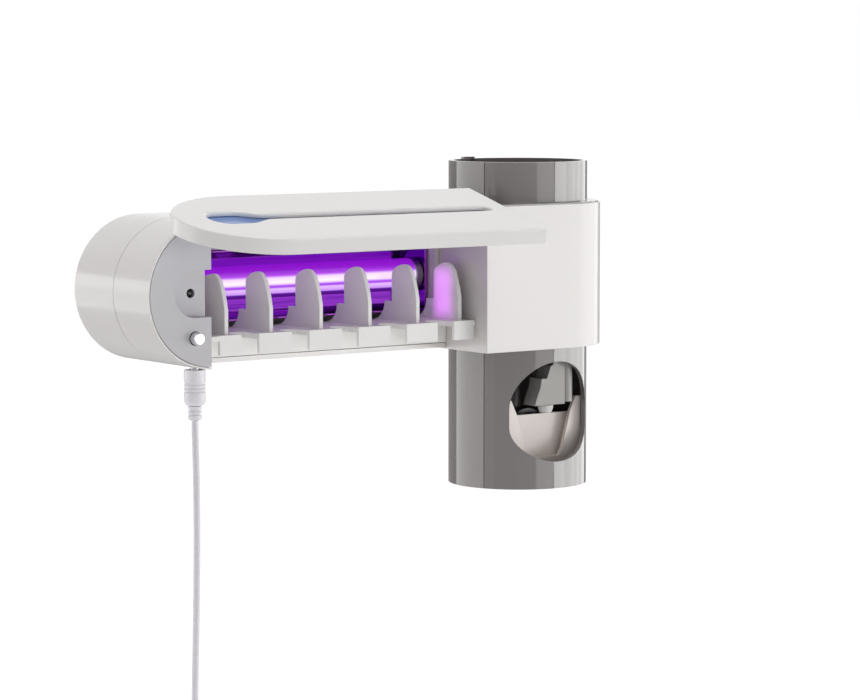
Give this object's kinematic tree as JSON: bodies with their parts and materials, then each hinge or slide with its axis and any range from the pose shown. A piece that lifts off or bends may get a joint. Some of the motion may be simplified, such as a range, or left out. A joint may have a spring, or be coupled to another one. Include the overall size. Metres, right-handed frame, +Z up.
{
  "type": "toothbrush sterilizer",
  "caption": "Wall-mounted toothbrush sterilizer with a hinged flap over a slotted tray and lamp, and an upright cylinder that dispenses toothpaste when its lever is pushed",
  "frame": {"origin": "middle of the adhesive pad's back, on the wall", "axes": "+X to the right along the wall, +Y into the wall, +Z up"},
  "size_m": [0.2446, 0.1108, 0.387],
  "materials": {
    "white_gloss": "glossy off-white moulding",
    "flap_gloss": "glossy white moulding",
    "satin_grey": "fine satin grey",
    "tray_satin": "light grey-white moulding",
    "taupe_gloss": "polished taupe",
    "taupe_satin": "satin taupe",
    "cream": "cream moulding",
    "black": "black moulding",
    "clear_blue": "clear blue strip",
    "lamp_glass": "violet lamp glass",
    "chrome": "polished",
    "steel": "bright steel",
    "board": "green board",
    "silicone": "milky silicone",
    "cord": "lilac-white soft plastic",
    "foam": "grey foam tape",
    "led": "blue lens"
  },
  "bodies": {
    "housing": {"rear_housing": "white_gloss", "front_housing": "white_gloss", "dispenser_cover": "white_gloss", "wall_plate": "white_gloss", "lamp_ceiling": "white_gloss", "end_panel": "satin_grey", "comb_tray": "tray_satin", "dispenser_front": "taupe_gloss", "dispenser_back": "taupe_gloss", "dispenser_trim_top": "taupe_gloss", "dispenser_trim_bottom": "taupe_gloss", "dispenser_base": "taupe_satin", "tube_collar": "taupe_satin", "nozzle_block": "taupe_satin", "lid_switch": "black", "step_up_transformer": "black", "board_capacitor_1": "black", "board_capacitor_2": "black", "dc_jack": "black", "hank_tie": "black", "pump_body": "black", "uv_tube": "lamp_glass", "reflector": "chrome", "plug_pin": "chrome", "lamp_bulkhead_left": "chrome", "lamp_bulkhead_right": "chrome", "hinge_pin_left": "steel", "hinge_pin_right": "steel", "tube_cap_left": "steel", "tube_cap_right": "steel", "lever_pin": "steel", "case_screw_1": "steel", "case_screw_2": "steel", "case_screw_3": "steel", "case_screw_4": "steel", "sleeve_screw_1": "steel", "sleeve_screw_2": "steel", "plunger_spring": "steel", "pump_spring": "steel", "usb_shell": "steel", "circuit_board": "board", "tube_seal": "silicone", "outlet_nozzle": "silicone", "dc_plug": "cord", "plug_collar": "cord", "cord_lead": "cord", "cord_hank": "cord", "cord_tail": "cord", "usb_plug": "cord", "adhesive_pad": "foam", "status_led": "led"},
    "flap": {"lid": "flap_gloss", "lid_window": "clear_blue"},
    "plunger": {"lid_switch_plunger": "chrome"},
    "lever": {"push_lever": "cream"},
    "pump": {"pump_plunger": "silicone"}
  },
  "joints": [
    {"name": "flap_hinge", "type": "hinge", "parent": "housing", "child": "flap", "pos_m": [-0.025, -0.05568, 0.02565], "axis": [1, 0, 0], "range_deg": [0, 74.6]},
    {"name": "plunger_slide", "type": "slide", "parent": "housing", "child": "plunger", "axis": [0, 1, 0], "range_m": [0, 0.0026], "stiffness_N_per_m": 150, "springref_m": -0.002, "deforming": ["plunger_spring"]},
    {"name": "lever_hinge", "type": "hinge", "parent": "housing", "child": "lever", "pos_m": [0.086, -0.046, -0.0855], "axis": [-1, 0, 0], "range_deg": [0, 10], "stiffness_Nm_per_rad": 0.3, "springref_deg": -5.73},
    {"name": "pump_slide", "type": "slide", "parent": "housing", "child": "pump", "axis": [0, 1, 0], "range_m": [0, 0.0033], "deforming": ["pump_spring"]}
  ],
  "couplings": [
    {"joint": "pump_slide", "follows": "lever_hinge", "m_per_rad": 0.0185}
  ]
}
